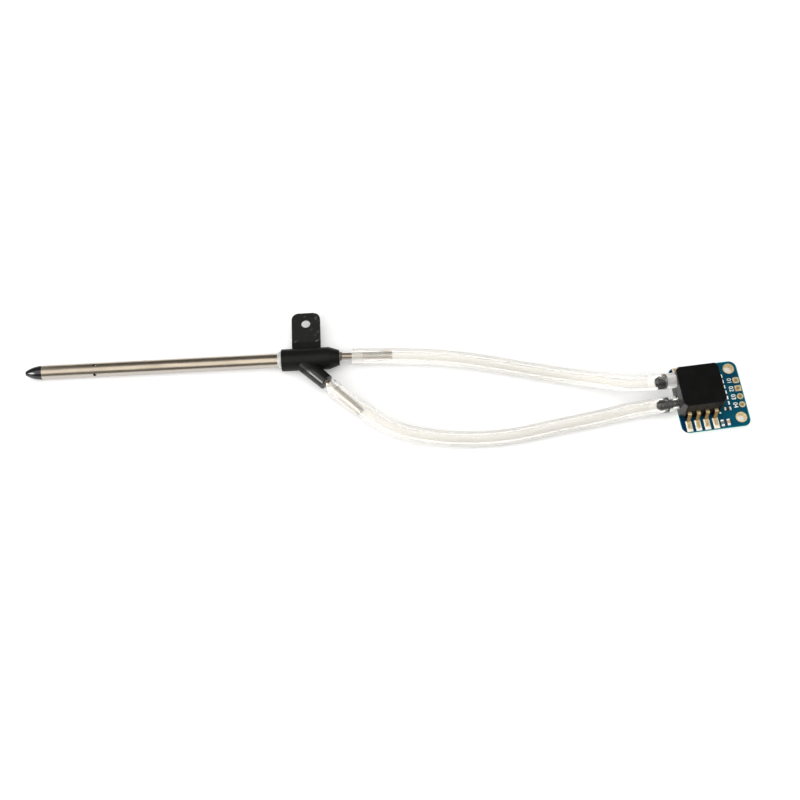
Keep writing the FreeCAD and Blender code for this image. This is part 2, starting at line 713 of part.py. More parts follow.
def draw_plated_hole(body, bore, draw_land):
    """Barrel through the board with a land on each face, all round one bore."""
    barrel = new_sketch(body, "barrel")
    draw_circle(barrel, "0", "0", f"{bore} + 2 * Sizes.plating")
    feature(body, "Pad", barrel, Length="Sizes.board_thickness")
    for face, height in (("under", "0"), ("top", "Sizes.board_thickness - Sizes.land_thickness")):
        land = new_sketch(body, "land_" + face, "XY_Plane", height)
        draw_land(land)
        feature(body, "Pad", land, Length="Sizes.land_thickness")
    hole = new_sketch(body, "hole")
    draw_circle(hole, "0", "0", bore)
    feature(body, "Pocket", hole, Type=1, Midplane=True)


def make_header_pad(number):
    """Plated header hole, square or round."""
    body = new_body(f"header_pad_{number + 1}")
    x, y = header_places()[number]
    draw_plated_hole(body, "Sizes.header_bore",
                     lambda sketch: draw_header_land(sketch, number, "0", "0"))
    body.Placement = board_placement(evaluate(sheet, x), evaluate(sheet, y))


# ---------------------------------------------------------------- pressure sensor

def draw_square(sketch, side):
    """Square about the package centre."""
    half = f"({side}) / 2"
    draw_outline(sketch, [(f"-{half}", f"-{half}"), (half, f"-{half}"), (half, half),
                          (f"-{half}", half)])


def add_port(body, offset, height):
    """Barbed port out of the package side, revolved about its own axis."""
    sketch = new_sketch(body, "port", "XZ_Plane", f"-({offset})")
    side = "-Sizes.sensor_side / 2"
    tip = "-(Sizes.sensor_side / 2 + Sizes.port_reach)"
    barb = "-(Sizes.sensor_side / 2 + Sizes.port_reach - Sizes.barb_length)"
    shoulder = "-(Sizes.sensor_side / 2 + Sizes.port_reach - Sizes.barb_length / 4)"
    inner = "-(Sizes.sensor_side / 2 - Sizes.cap_wall / 2)"
    neck = f"{height} + Sizes.port_neck / 2"
    draw_outline(sketch, [(inner, height), (inner, neck), (barb, neck),
                          (barb, f"{height} + Sizes.barb_diameter / 2"),
                          (shoulder, f"{height} + Sizes.barb_diameter / 2"),
                          (tip, neck), (tip, height)])
    pad = feature(body, "Revolution", sketch, ReferenceAxis=(sketch, ["Edge7"]), Angle="360")
    before = body.Shape.Volume
    bore = new_sketch(body, "port_bore", "YZ_Plane", tip)
    draw_circle(bore, offset, height, "Sizes.port_bore")
    feature(body, "Pocket", bore, Length="Sizes.port_reach + 1.5 * Sizes.cap_wall", Reversed=True)
    check_cut(body, before)
    return pad


def make_sensor_housing():
    """Lower half of the package: floor, walls, notches for the leads and the lower port."""
    body = new_body("sensor_housing")
    block = new_sketch(body, "block", "XY_Plane", "Sizes.standoff")
    draw_square(block, "Sizes.sensor_side")
    feature(body, "Pad", block, Length="Sizes.housing_height")
    dress_edges(body, "Chamfer", along_z, "Sizes.housing_corner")
    before = body.Shape.Volume
    floor = "Sizes.standoff + Sizes.lower_port_height / 2"
    hollow = new_sketch(body, "hollow", "XY_Plane", floor)
    draw_square(hollow, "Sizes.sensor_side - 2 * Sizes.cap_wall")
    feature(body, "Pocket", hollow, Length="Sizes.housing_height", Reversed=True)
    check_cut(body, before)
    add_port(body, "-Sizes.lower_port_offset", "Sizes.lower_port_height")
    for side, name in ((1, "far"), (-1, "near")):
        before = body.Shape.Volume
        notch = new_sketch(body, "notches_" + name, "XY_Plane", "Sizes.lead_height")
        for step in (-1.5, -0.5, 0.5, 1.5):
            middle = f"{step} * Sizes.pitch"
            inner = f"{side} * (Sizes.sensor_side / 2 - Sizes.lead_root)"
            outer = f"{side} * (Sizes.sensor_side / 2 + 1)"
            draw_outline(notch, [(f"{middle} - Sizes.lead_width / 2", inner),
                                 (f"{middle} + Sizes.lead_width / 2", inner),
                                 (f"{middle} + Sizes.lead_width / 2", outer),
                                 (f"{middle} - Sizes.lead_width / 2", outer)])
        feature(body, "Pocket", notch, Length="Sizes.lead_thickness", Reversed=True)
        check_cut(body, before)
    body.Placement = package_placement()


def make_sensor_cap():
    """Upper half of the package: hollow cap with a seam groove, bevelled edges and upper port."""
    body = new_body("sensor_cap")
    bottom = "Sizes.standoff + Sizes.housing_height"
    skirt = new_sketch(body, "skirt", "XY_Plane", bottom)
    draw_square(skirt, "Sizes.sensor_side - 2 * Sizes.seam_depth")
    feature(body, "Pad", skirt, Length="Sizes.seam_height")
    block = new_sketch(body, "block", "XY_Plane", bottom + " + Sizes.seam_height")
    draw_square(block, "Sizes.sensor_side")
    feature(body, "Pad", block, Length="Sizes.cap_height - Sizes.seam_height")
    dress_edges(body, "Chamfer", along_z, "Sizes.cap_corner")
    top = size("standoff") + size("housing_height") + size("cap_height")
    dress_edges(body, "Chamfer", lambda edge: in_plane_z(edge, top), "Sizes.package_edge")
    before = body.Shape.Volume
    hollow = new_sketch(body, "hollow", "XY_Plane", bottom)
    draw_square(hollow, "Sizes.sensor_side - 2 * Sizes.cap_wall")
    feature(body, "Pocket", hollow, Length="Sizes.cap_height - Sizes.cap_wall", Reversed=True)
    check_cut(body, before)
    add_port(body, "Sizes.upper_port_offset", "Sizes.upper_port_height")
    body.Placement = package_placement()


def make_sensing_stack():
    """Glass wafer, die and soft gel, one on the other on the housing floor."""
    floor = "Sizes.standoff + Sizes.lower_port_height / 2"
    on_wafer = floor + " + Sizes.wafer_height"
    on_die = on_wafer + " + Sizes.die_height"
    for label, level, height in (("glass_wafer", floor, "Sizes.wafer_height"),
                                 ("sensing_die", on_wafer, "Sizes.die_height")):
        body = new_body(label)
        square = new_sketch(body, "square", "XY_Plane", level)
        draw_square(square, "Sizes.die_side")
        feature(body, "Pad", square, Length=height)
        body.Placement = package_placement()
    body = new_body("protective_gel")
    disc = new_sketch(body, "disc", "XY_Plane", on_die)
    draw_circle(disc, "0", "0", "Sizes.gel_diameter")
    feature(body, "Pad", disc, Length="Sizes.gel_height")
    body.Placement = package_placement()


def make_lead(number):
    """Gull-wing lead: shoulder, sloping leg and foot, with rounded bends."""
    body = new_body(f"lead_{number + 1}")
    wall = "Sizes.sensor_side / 2"
    knee = f"{wall} + Sizes.shoulder_length"
    ankle = f"{knee} + Sizes.leg_run"
    toe = f"{ankle} + Sizes.foot_length"
    thick = "Sizes.lead_thickness"
    low = "Sizes.foot_height"
    high = "Sizes.lead_height"
    strip = new_sketch(body, "strip", "YZ_Plane")
    draw_outline(strip, [
        (f"{wall} - Sizes.lead_root", high), (knee, high), (ankle, low), (toe, low),
        (toe, f"{low} + {thick}"), (f"{ankle} + {thick}", f"{low} + {thick}"),
        (f"{knee} + {thick}", f"{high} + {thick}"),
        (f"{wall} - Sizes.lead_root", f"{high} + {thick}")])
    feature(body, "Pad", strip, Length="Sizes.lead_width", Midplane=True)
    inside = [(evaluate(strip, knee), evaluate(strip, high)),
              (evaluate(strip, f"{ankle} + {thick}"), evaluate(strip, f"{low} + {thick}"))]
    outside = [(evaluate(strip, f"{knee} + {thick}"), evaluate(strip, f"{high} + {thick}")),
               (evaluate(strip, ankle), evaluate(strip, low))]
    dress_edges(body, "Fillet", lambda edge: edge_at(edge, inside), "Sizes.bend_inside")
    dress_edges(body, "Fillet", lambda edge: edge_at(edge, outside),
                "Sizes.bend_inside + Sizes.lead_thickness")
    body.Placement = lead_placement(number)


def edge_at(edge, places):
    """True for an edge across a lead, at one of these distances and heights."""
    centre = edge.BoundBox.Center
    return edge.BoundBox.XLength > size("lead_width") / 2 and any(
        near(centre.y, y) and near(centre.z, z) for y, z in places)


def lead_placement(number):
    """Leads 1 to 4 are on the near side and 5 to 8 on the far side."""
    step = (number % 4 - 1.5) * size("pitch")
    if number < 4:
        return package_placement(step, 0, 0, 180.0)
    return package_placement(step, 0, 0, 0.0)


def make_solder_joint(number):
    """Solder under and round a lead foot, with sloping sides."""
    body = new_body(f"solder_joint_{number + 1}")
    ankle = "Sizes.sensor_side / 2 + Sizes.shoulder_length + Sizes.leg_run"
    heel = f"({ankle} - Sizes.solder_heel)"
    toe = f"({ankle} + Sizes.foot_length)"
    outer = f"({toe} + Sizes.{'solder_toe' if number < 4 else 'far_solder_toe'})"
    base = new_sketch(body, "base")
    draw_outline(base, [
        ("-Sizes.solder_width / 2", heel), ("Sizes.solder_width / 2", heel),
        ("Sizes.solder_width / 2", outer), ("-Sizes.solder_width / 2", outer)])
    feature(body, "Pad", base, Length="Sizes.solder_height")
    top = size("solder_height")
    dress_edges(body, "Chamfer", lambda edge: in_plane_z(edge, top), "Sizes.solder_height * 0.6")
    before = body.Shape.Volume
    slot = new_sketch(body, "foot_slot", "XY_Plane", "Sizes.foot_height")
    inner = f"{heel} - 1"
    draw_outline(slot, [("-Sizes.lead_width / 2", inner), ("Sizes.lead_width / 2", inner),
                        ("Sizes.lead_width / 2", toe), ("-Sizes.lead_width / 2", toe)])
    feature(body, "Pocket", slot, Length="Sizes.solder_height", Reversed=True)
    check_cut(body, before)
    body.Placement = lead_placement(number)


def make_chip_component(name, x, y, turn):
    """Surface-mount component: a ceramic body between two metal ends."""
    place = board_placement(x, y, size("board_thickness"), turn)
    middle = doc.addObject("Part::Box", name + "_body")
    middle.Label = name + "_body"
    middle.setExpression("Length", "Sizes.chip_length - 2 * Sizes.terminal_length")
    middle.setExpression("Width", "Sizes.chip_width")
    middle.setExpression("Height", "Sizes.chip_height")
    middle.Placement = place * Placement(
        Vector(size("terminal_length") - size("chip_length") / 2, -size("chip_width") / 2, 0), Rotation())
    ends = []
    for start in (-size("chip_length") / 2, size("chip_length") / 2 - size("terminal_length")):
        end = doc.addObject("Part::Box", name + "_end")
        end.setExpression("Length", "Sizes.terminal_length")
        end.setExpression("Width", "Sizes.chip_width")
        end.setExpression("Height", "Sizes.chip_height")
        end.Placement = place * Placement(Vector(start, -size("chip_width") / 2, 0), Rotation())
        ends.append(end)
    pair = doc.addObject("Part::Compound", name + "_terminals")
    pair.Label = name + "_terminals"
    pair.Links = ends


# ---------------------------------------------------------------- build and export

def export_parts(labels):
    """Check every object, then write each sub-part's solids to its own STEP file."""
    doc.recompute()
    for item in doc.Objects:
        if "Invalid" in item.State or "Error" in item.State:
            raise RuntimeError(item.Label + " failed: " + str(item.State))
    os.makedirs("parts", exist_ok=True)
    whole = FreeCAD.BoundBox()
    for label in labels:
        shape = doc.getObjectsByLabel(label)[0].Shape
        if shape.isNull() or not shape.isValid() or shape.Volume <= 0:
            raise RuntimeError(label + " has no valid shape")
        shape.exportStep(os.path.join("parts", label + ".step"))
        if not label.endswith("_hose"):
            whole.add(shape.optimalBoundingBox(False))
    print(len(labels), "parts; box without hoses", whole)


sheet = make_sheet()
make_nose_cone()
make_static_tube()
make_total_pressure_tube()
make_manifold()
make_static_nipple()
make_beads()
make_hose("total_pressure_hose", TOTAL_ROUTE, upper_port_placement())
make_hose("static_pressure_hose", STATIC_ROUTE, lower_port_placement())
make_circuit_board()
for ring_number in range(2):
    make_mounting_ring(ring_number)
for pad_number in range(4):
    make_header_pad(pad_number)
make_sensor_housing()
make_sensor_cap()
make_sensing_stack()
for lead_number in range(8):
    make_lead(lead_number)
    make_solder_joint(lead_number)
make_chip_component("resistor", -3.29, -12.29, 0.0)
make_chip_component("pale_capacitor", -5.7, -16.45, 90.0)
make_chip_component("brown_capacitor", -4.0, -16.4, 90.0)

export_parts(
    ["nose_cone", "static_tube", "total_pressure_tube", "manifold", "static_nipple",
     "front_sealant_bead", "rear_sealant_bead", "branch_sealant_bead",
     "total_pressure_hose", "static_pressure_hose", "circuit_board",
     "mounting_ring_1", "mounting_ring_2"]
    + [f"header_pad_{number}" for number in range(1, 5)]
    + ["sensor_housing", "sensor_cap", "glass_wafer", "sensing_die", "protective_gel"]
    + [f"lead_{number}" for number in range(1, 9)]
    + [f"solder_joint_{number}" for number in range(1, 9)]
    + ["resistor_body", "resistor_terminals", "pale_capacitor_body", "pale_capacitor_terminals",
       "brown_capacitor_body", "brown_capacitor_terminals"])
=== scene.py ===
"""Finishes, hoses, printing and studio for the pitot-static probe and its sensor board."""

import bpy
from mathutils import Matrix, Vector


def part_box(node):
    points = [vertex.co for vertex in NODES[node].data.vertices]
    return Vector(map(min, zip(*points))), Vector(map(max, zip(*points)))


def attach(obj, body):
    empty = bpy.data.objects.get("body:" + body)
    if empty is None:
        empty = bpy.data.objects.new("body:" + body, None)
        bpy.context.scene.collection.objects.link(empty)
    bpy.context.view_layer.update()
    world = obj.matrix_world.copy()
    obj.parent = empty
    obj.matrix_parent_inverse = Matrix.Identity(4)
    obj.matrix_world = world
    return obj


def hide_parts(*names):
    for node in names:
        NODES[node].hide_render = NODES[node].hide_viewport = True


bl_info = {
    "name": "Pitot Probe",
    "version": (1, 0, 0),
    "blender": (4, 5, 0),
    "location": "View3D > Sidebar > Pitot Probe",
    "description": "Dresses the pitot-static probe, its hoses and its pressure sensor board",
    "category": "Object",
}

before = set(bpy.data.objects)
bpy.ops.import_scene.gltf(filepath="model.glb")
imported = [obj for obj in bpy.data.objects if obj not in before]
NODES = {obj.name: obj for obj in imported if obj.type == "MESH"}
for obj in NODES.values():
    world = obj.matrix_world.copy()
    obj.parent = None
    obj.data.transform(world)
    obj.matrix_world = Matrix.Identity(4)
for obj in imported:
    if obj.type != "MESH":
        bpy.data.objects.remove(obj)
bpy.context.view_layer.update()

import math

import bmesh
import bpy
from bpy.props import FloatProperty, FloatVectorProperty, IntProperty, PointerProperty
from bpy.types import Operator, Panel, PropertyGroup
from mathutils import Matrix, Vector

MM = 0.001

# Camera, in millimetres, and its small turn about the vertical.
CAMERA_PLACE = (-4.35, -177.828, 355.51)
CAMERA_TARGET = (4.04, -6.258, 0.0)
CAMERA_TURN = math.radians(2.80)

# Like pieces that are numbered from 1.
HEADER_PADS = 4
LEADS = 8

# Hoses, in metres. The port's neck, barb and tip end at these distances back from the hose's end.
# PORT_FIT is the clearance at the step of the barb.
PORT_NECK = 0.0026
PORT_BARB = 0.0051
PORT_TIP = 0.0060
NECK_RADIUS = 0.00100
BARB_RADIUS = 0.00155
TIP_RADIUS = 0.00105
PORT_FIT = 0.00005
# Length over a port that stays clear, and lengths of the clouded ends at the probe.
PORT_SIGHT = 0.0075
TOTAL_MOUTH = 0.0026
STATIC_MOUTH = 0.0018
# Rings along a hose, and the rounding of its rims.
HOSE_STEPS = 150
HOSE_EDGE = 0.00015
# Silicones in the order of a hose's material slots: name, share that scatters back, roughness.
SILICONES = (("Milky silicone", 0.17, 0.20), ("Clouded silicone", 0.28, 0.25),
             ("Clear silicone", 0.02, 0.11))
CLOUDED, CLEAR = 1, 2

# Tubes, in millimetres: painted shade inside the static tube, which is black inside this radius, and on
# the inner tube, black ahead of the manifold's front. Each change of colour fades over its own length.
TUBE_SHADE_RADIUS = 1.99
SHADE_FADE = 0.05
INNER_SHADE_FADE = 1.0

# Where the manifold's branch turns glossy and its flag begins, in millimetres beside the barrel.
BRANCH_SIDE = (-4.2, -5.4)
FLAG_SIDE = (5.2, 5.6)

# Printing on the board, in millimetres from the first mounting hole.
INK_THICKNESS = 0.024
HEADER_FIRST = 3.81
HEADER_PITCH = 2.54
NUMBER_LINE = -0.75
NUMBER_SIZE = 1.75
DASHES = 7
DASH_FIRST = (-2.5, 2.05)
DASH_STEP = (0.02, 1.69)
DASH_SIZE = (0.42, 1.05)
DOT_PLACE = (-5.53, 13.18)
DOT_RADIUS = 0.26

# Bright rim of the board: where it begins and is full, in millimetres from the board's middle.
BOARD_RIM = (("X", 9.50, 9.80), ("Y", 9.87, 10.17))

# Lamps, in metres: place, spread and the point that each faces.
SOFTBOX = ((0.0, -0.190, 0.50), (1.3, 0.62), (0.0, -0.190, 0.0))
SIDE_LIGHT = ((-0.70, -0.24, 0.37), (0.32, 0.30), (-0.03, 0.0, 0.0))

# Floor, in metres: its size and its gap below the object.
FLOOR_SIZE = 6.0
FLOOR_GAP = 0.00002
FLOOR_COLOUR = (0.83, 0.825, 0.82)
# Glow of the floor by the kind of ray that meets it, and where the far glow begins and is full.
FLOOR_GLOW = (("Is Camera Ray", 0.07), ("Is Glossy Ray", 0.03), ("Is Transmission Ray", 0.36))
FLOOR_FAR = (0.4, 1.1)
# Colour that mirrored rays meet on the probe's side, and where that side begins and is full.
MIRRORED_FLOOR = (0.64, 0.64, 0.64)
PROBE_SIDE = (-0.005, -0.02)
# Greys of the room that metal mirrors, from the horizon to overhead.
ROOM = ((0.0, 0.12), (0.06, 0.10), (0.20, 0.09), (0.60, 0.08), (1.0, 0.12))

# Control points of the two hoses, in metres, from the probe to the sensor.
TOTAL_ROUTE = [
    (-0.008973, 0.006523, 0.003481), (0.008023, 0.005790, 0.003767), (0.024030, 0.004072, 0.002750),
    (0.039030, 0.000622, 0.002250), (0.050530, -0.002178, 0.002550), (0.060530, -0.005178, 0.004700),
    (0.069715, -0.008378, 0.007200), (0.080669, -0.007381, 0.007200),
]
STATIC_ROUTE = [
    (-0.015375, -0.002415, 0.003373), (-0.002156, -0.015636, 0.003596), (0.013030, -0.019928, 0.002350),
    (0.031030, -0.020728, 0.002200), (0.047030, -0.017728, 0.002200), (0.061030, -0.015378, 0.002350),
    (0.069607, -0.013810, 0.003500), (0.081157, -0.012759, 0.003500),
]


# ---------------------------------------------------------------- settings

def colour(name, description, default):
    return FloatVectorProperty(name=name, description=description, subtype="COLOR", size=3,
                               min=0.0, max=1.0, default=default)


class PitotHoseSettings(PropertyGroup):
    diameter: FloatProperty(name="Outside diameter", description="Hose outside diameter",
                            default=0.0044, unit="LENGTH")
    bore: FloatProperty(name="Bore", description="Hose bore over the tubes", default=0.0021,
                        unit="LENGTH")
    sides: IntProperty(name="Sides", description="Faces round the hose", default=64, min=12)
    tint: colour("Silicone", "Milky silicone", (0.992, 0.974, 0.935))


class PitotFinishSettings(PropertyGroup):
    steel: colour("Steel", "Polished tube", (0.66, 0.565, 0.44))
    moulding: colour("Moulding", "Black moulded plastic", (0.006, 0.006, 0.0055))
    nose: colour("Nose", "Glossy nose cone", (0.008, 0.008, 0.009))
    package: colour("Package", "Sensor package plastic", (0.004, 0.004, 0.0038))
    board: colour("Board", "Blue lacquer", (0.0, 0.032, 0.064))
    gold: colour("Gold", "Plating", (0.95, 0.76, 0.42))
    solder: colour("Solder", "Bright solder", (0.97, 0.95, 0.90))


class PitotStageSettings(PropertyGroup):
    lens: FloatProperty(name="Lens", description="Camera lens in millimetres", default=63.0)
    softbox: FloatProperty(name="Softbox", description="Overhead light power", default=2.9,
                           subtype="POWER")
    side: FloatProperty(name="Side light", description="Power of the light beyond the nose",
                        default=3.4, subtype="POWER")
    fill: FloatProperty(name="Fill", description="Strength of the surroundings", default=0.80)


# ---------------------------------------------------------------- material helpers

class Finish:
    """A procedural material with a Principled shader and short calls for its nodes."""

    def __init__(self, name, base, roughness, metallic=0.0, **sockets):
        self.material = bpy.data.materials.new(name)
        self.material.use_nodes = True
        self.tree = self.material.node_tree
        self.shader = self.tree.nodes["Principled BSDF"]
        self.set("Base Color", (*base, 1.0))
        self.set("Roughness", roughness)
        self.set("Metallic", metallic)
        for socket, value in sockets.items():
            self.set(socket.replace("_", " "), value)

    def set(self, socket, value):
        self.shader.inputs[socket].default_value = value

    def node(self, kind, **values):
        made = self.tree.nodes.new(kind)
        for key, value in values.items():
            setattr(made, key, value)
        return made

    def link(self, source, target):
        self.tree.links.new(source, target)

    def millimetres(self, stretch=(1.0, 1.0, 1.0), turn=0.0, centre=(0.0, 0.0, 0.0), source="Object"):
        """Coordinates in millimetres, stretched along the piece's own axes."""
        place = self.node("ShaderNodeTexCoord").outputs[source]
        shift = self.node("ShaderNodeVectorMath", operation="SUBTRACT")
        self.link(place, shift.inputs[0])
        shift.inputs[1].default_value = centre
        mapping = self.node("ShaderNodeMapping")
        mapping.inputs["Rotation"].default_value = (0.0, 0.0, -turn)
        self.link(shift.outputs["Vector"], mapping.inputs["Vector"])
        scale = self.node("ShaderNodeVectorMath", operation="MULTIPLY")
        self.link(mapping.outputs["Vector"], scale.inputs[0])
        scale.inputs[1].default_value = [part / MM for part in stretch]
        return scale.outputs["Vector"]

    def parts(self, vector):
        """The X, Y and Z of a vector."""
        split = self.node("ShaderNodeSeparateXYZ")
        self.link(vector, split.inputs[0])
        return split.outputs

    def length(self, vector):
        made = self.node("ShaderNodeVectorMath", operation="LENGTH")
        self.link(vector, made.inputs[0])
        return made.outputs["Value"]

    def facing(self, axis, low, high):
        """From 0 to 1 as the surface turns from low to high along an axis."""
        normal = self.node("ShaderNodeNewGeometry").outputs["Normal"]
        return self.step(self.parts(normal)[axis], low, high)

    def math(self, operation, *values):
        """Arithmetic on values or sockets."""
        made = self.node("ShaderNodeMath", operation=operation)
        for socket, value in zip(made.inputs, values):
            if isinstance(value, bpy.types.NodeSocket):
                self.link(value, socket)
            else:
                socket.default_value = value
        return made.outputs[0]

    def step(self, value, low, high):
        """From 0 at low to 1 at high."""
        span = self.node("ShaderNodeMapRange")
        self.link(value, span.inputs["Value"])
        span.inputs["From Min"].default_value = low
        span.inputs["From Max"].default_value = high
        return span.outputs["Result"]

    def noise(self, vector, scale, detail=4.0, rough=0.55):
        noise = self.node("ShaderNodeTexNoise")
        noise.inputs["Scale"].default_value = scale
        noise.inputs["Detail"].default_value = detail
        noise.inputs["Roughness"].default_value = rough
        self.link(vector, noise.inputs["Vector"])
        return noise.outputs["Fac"]

    def ramp(self, factor, stops):
        """Colour ramp through (position, colour) stops; a colour may be one grey value."""
        ramp = self.node("ShaderNodeValToRGB")
        elements = ramp.color_ramp.elements
        while len(elements) < len(stops):
            elements.new(0.5)
        for element, (position, value) in zip(elements, stops):
            element.position = position
            element.color = (*value, 1.0) if isinstance(value, tuple) else (value, value, value, 1.0)
        self.link(factor, ramp.inputs["Fac"])
        return ramp.outputs["Color"]

    def blend(self, factor, first, second):
        """Mix two colours, each a value or a socket."""
        mix = self.node("ShaderNodeMix", data_type="RGBA")
        for socket, value in ((mix.inputs[0], factor), (mix.inputs[6], first), (mix.inputs[7], second)):
            if isinstance(value, bpy.types.NodeSocket):
                self.link(value, socket)
            else:
                socket.default_value = value if isinstance(value, float) else (*value, 1.0)
        return mix.outputs[2]

    def bump(self, height, distance, strength=1.0, below=None):
        bump = self.node("ShaderNodeBump")
        bump.inputs["Distance"].default_value = distance
        bump.inputs["Strength"].default_value = strength
        self.link(height, bump.inputs["Height"])
        if below is not None:
            self.link(below, bump.inputs["Normal"])
        return bump.outputs["Normal"]

    def wire(self, socket, output):
        self.link(output, self.shader.inputs[socket])

    def feeding(self, socket):
        """What is linked to a socket of the shader."""
        return self.shader.inputs[socket].links[0].from_socket


def shade(names, finish):
    """Give CAD nodes or pieces one finish."""
    for name in names:
        piece = NODES.get(name) or bpy.data.objects[name]
        piece.data.materials.clear()
        piece.data.materials.append(finish.material)


# ---------------------------------------------------------------- finishes

def silicone_finish(name, cloud, roughness):
    """Milky silicone: light passes through it, and cloud is how much of it scatters back."""
    tint = tuple(bpy.context.scene.pitot_hoses.tint)
    finish = Finish(name, tint, roughness, IOR=1.41, Transmission_Weight=1.0 - cloud,
                    Specular_IOR_Level=0.5)
    along = finish.millimetres(stretch=(0.08, 1.0, 1.0), source="UV")
    ripple = finish.noise(along, 1.1, 3.0)
    finish.wire("Normal", finish.bump(ripple, 0.00003, 0.12))
    return finish


def steel_finish(name, base, roughness, shade_radius=0.0):
    """Drawn tube: fine lines and faint stains along its length; its sides and underside take a cooler
    tint, a painted reflection.

    It is painted black within the given radius, in millimetres, of the static tube's axis: painted shade
    for the dark inside of the tube.
    """
    finish = Finish(name, base, roughness, 1.0)
    lines = finish.noise(finish.millimetres(stretch=(0.05, 6.0, 6.0)), 1.0, 5.0)
    stains = finish.noise(finish.millimetres(stretch=(0.25, 1.0, 1.0)), 0.6, 3.0)
    dull = tuple(part * 0.80 for part in base)
    bright = finish.blend(finish.ramp(stains, [(0.35, 0.0), (0.70, 1.0)]), base, dull)
    # Painted reflection: where the surface turns from upright towards the sides and underside, a cooler
    # tint stands in for what the tube mirrors there.
    below = (base[0] * 0.98, base[1] * 1.06, base[2] * 1.24)
    bright = finish.blend(finish.facing("Z", 0.40, 0.62), below, bright)
    finish.wire("Roughness", finish.ramp(lines, [(0.3, roughness * 0.85), (0.7, roughness * 1.25)]))
    finish.wire("Normal", finish.bump(lines, 0.000006, 0.6))
    # Painted shade: black, without metal or specular, inside the tube's bore.
    if shade_radius > 0.0:
        centre, axis = tube_axis()
        turned = finish.node("ShaderNodeVectorMath", operation="CROSS_PRODUCT")
        finish.link(finish.millimetres(centre=tuple(centre)), turned.inputs[0])
        turned.inputs[1].default_value = tuple(axis)
        shown = finish.step(finish.length(turned.outputs["Vector"]), shade_radius - SHADE_FADE, shade_radius)
        bright = finish.blend(shown, (0.0, 0.0, 0.0), bright)
        finish.wire("Metallic", shown)
        finish.wire("Specular IOR Level", shown)
    finish.wire("Base Color", bright)
    return finish


def plastic_finish(name, base, roughness, grain, depth, **sockets):
    """Moulded plastic: fine grain, uneven gloss and paler clouds."""
    finish = Finish(name, base, roughness, **sockets)
    place = finish.millimetres()
    fine = finish.noise(place, grain, 6.0, 0.6)
    broad = finish.noise(place, 0.35, 3.0)
    pale = tuple(part * 1.8 for part in base)
    finish.wire("Base Color", finish.blend(finish.ramp(broad, [(0.40, 0.0), (0.75, 0.6)]), base, pale))
    finish.wire("Roughness", finish.ramp(fine, [(0.3, roughness * 0.85), (0.7, roughness * 1.2)]))
    finish.wire("Normal", finish.bump(fine, depth, 0.7))
    return finish


def moulding_finish(name, base, roughness):
    """Satin plastic, glossier on the branch; on the flag a paler colour is a painted sheen, and its few
    scuffs are real marks painted pale as glints.
    """
    finish = plastic_finish(name, base, roughness, 3.0, 0.00002)
    sideways = finish.parts(finish.millimetres())["Y"]
    barrel = middle("static_tube").y / MM
    branch = finish.step(sideways, *(barrel + side for side in BRANCH_SIDE))
    flag = finish.step(sideways, *(barrel + side for side in FLAG_SIDE))
    finish.wire("Specular IOR Level", finish.math("MULTIPLY_ADD", branch, 0.45, 0.16))
    finish.wire("Roughness", finish.math("MULTIPLY_ADD", branch, -0.16, roughness))
    # Painted light on the flag: a paler colour as painted sheen, and real scuffs painted pale as glints
    # where they catch the light.
    streaks = finish.noise(finish.millimetres(stretch=(0.5, 1.6, 1.0), turn=0.6), 0.9, 5.0, 0.65)
    scuffs_and_glints = finish.math("MULTIPLY", finish.step(streaks, 0.60, 0.72), flag)
    flag_sheen = finish.blend(flag, finish.feeding("Base Color"), tuple(part * 2.2 for part in base))
    finish.wire("Base Color", finish.blend(scuffs_and_glints, flag_sheen, (0.16, 0.16, 0.15)))
    return finish


def plating_finish(name, base, roughness, metallic=1.0, worn=None, steep_reflection=None):
    """Plated metal, clouded with a worn colour; its steep faces can take a darker colour, a painted
    reflection.
    """
    finish = Finish(name, base, roughness, metallic)
    place = finish.millimetres()
    cloud = finish.noise(place, 2.2, 4.0)
    worn = worn or tuple(part * 0.62 for part in base)
    surface = finish.blend(finish.ramp(cloud, [(0.42, 0.0), (0.68, 1.0)]), base, worn)
    # Painted reflection: steep faces darken as if they mirrored the dark board beside them.
    if steep_reflection is not None:
        surface = finish.blend(finish.facing("Z", 0.70, 0.96), steep_reflection, surface)
    finish.wire("Base Color", surface)
    finish.wire("Normal", finish.bump(finish.noise(place, 5.0, 5.0), 0.00002, 0.6))
    return finish


